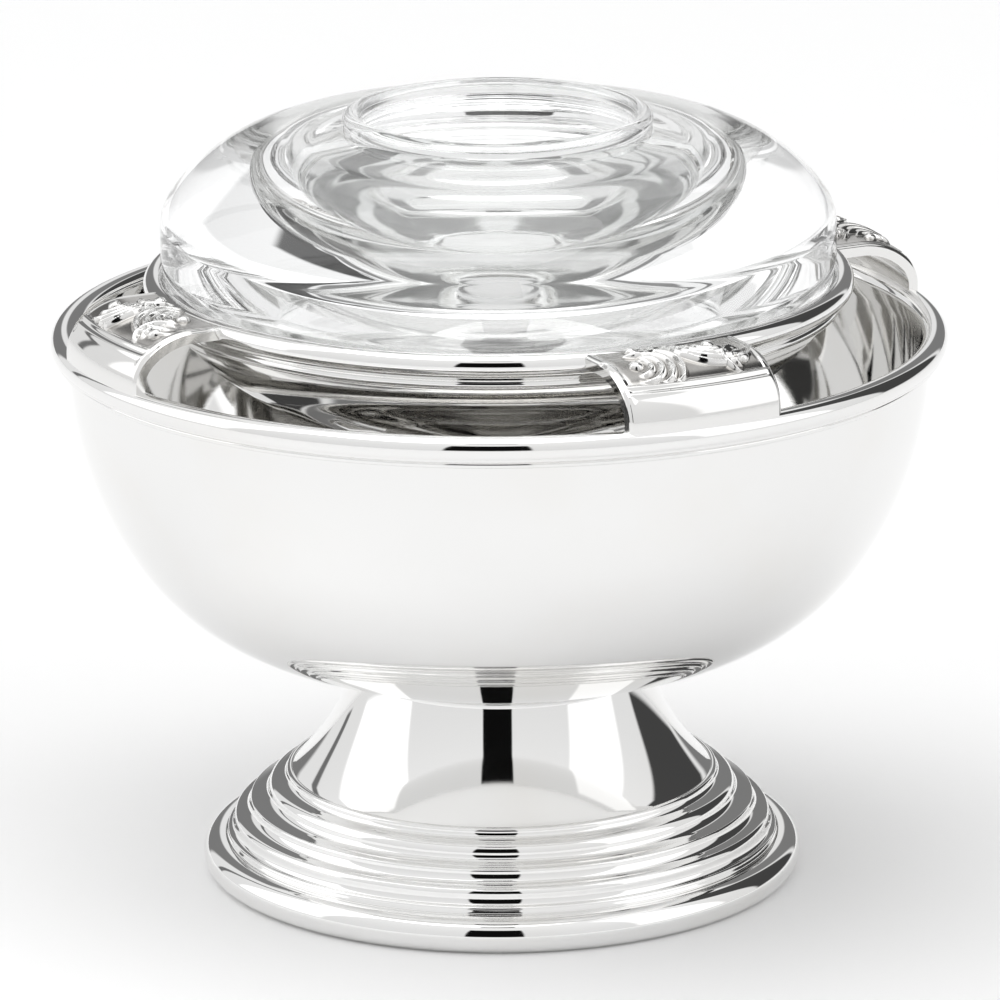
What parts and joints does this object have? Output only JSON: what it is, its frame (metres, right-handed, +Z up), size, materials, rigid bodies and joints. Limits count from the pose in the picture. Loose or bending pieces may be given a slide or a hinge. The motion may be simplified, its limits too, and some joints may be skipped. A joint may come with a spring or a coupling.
{
  "type": "footed ice server",
  "caption": "Footed silver bowl for crushed ice, with a lift-out ring holder on ornamented brackets that carries a thick open glass cup for chilled food.",
  "frame": {"origin": "on the table under the middle of the foot", "axes": "+Z up along the axis of the bowl; the brackets are a quarter turn apart and the first one points 26.8 degrees from +X towards +Y"},
  "size_m": [0.15, 0.15, 0.1311],
  "materials": {
    "silver_plate": "polished",
    "silver_cast": "polished cast relief",
    "fixing_brass": "machined",
    "clear_glass": "polished"
  },
  "bodies": {
    "ice_bowl": {"bowl_shell": "silver_plate", "rim_moulding": "silver_plate", "pedestal": "silver_plate", "foot_ring": "silver_plate", "fixing_stud": "fixing_brass", "fixing_washer": "fixing_brass", "fixing_nut": "fixing_brass"},
    "holder": {"holder_ring": "silver_plate", "holder_cup": "silver_plate", "bracket_right": "silver_cast", "bracket_back": "silver_cast", "bracket_left": "silver_cast", "bracket_front": "silver_cast"},
    "glass": {"glass_cup": "clear_glass"}
  },
  "joints": [
    {"name": "holder_lift", "type": "slide", "parent": "ice_bowl", "child": "holder", "axis": [0, 0, 1], "range_m": [0, 0.06]},
    {"name": "glass_lift", "type": "slide", "parent": "holder", "child": "glass", "axis": [0, 0, 1], "range_m": [0, 0.06]}
  ]
}
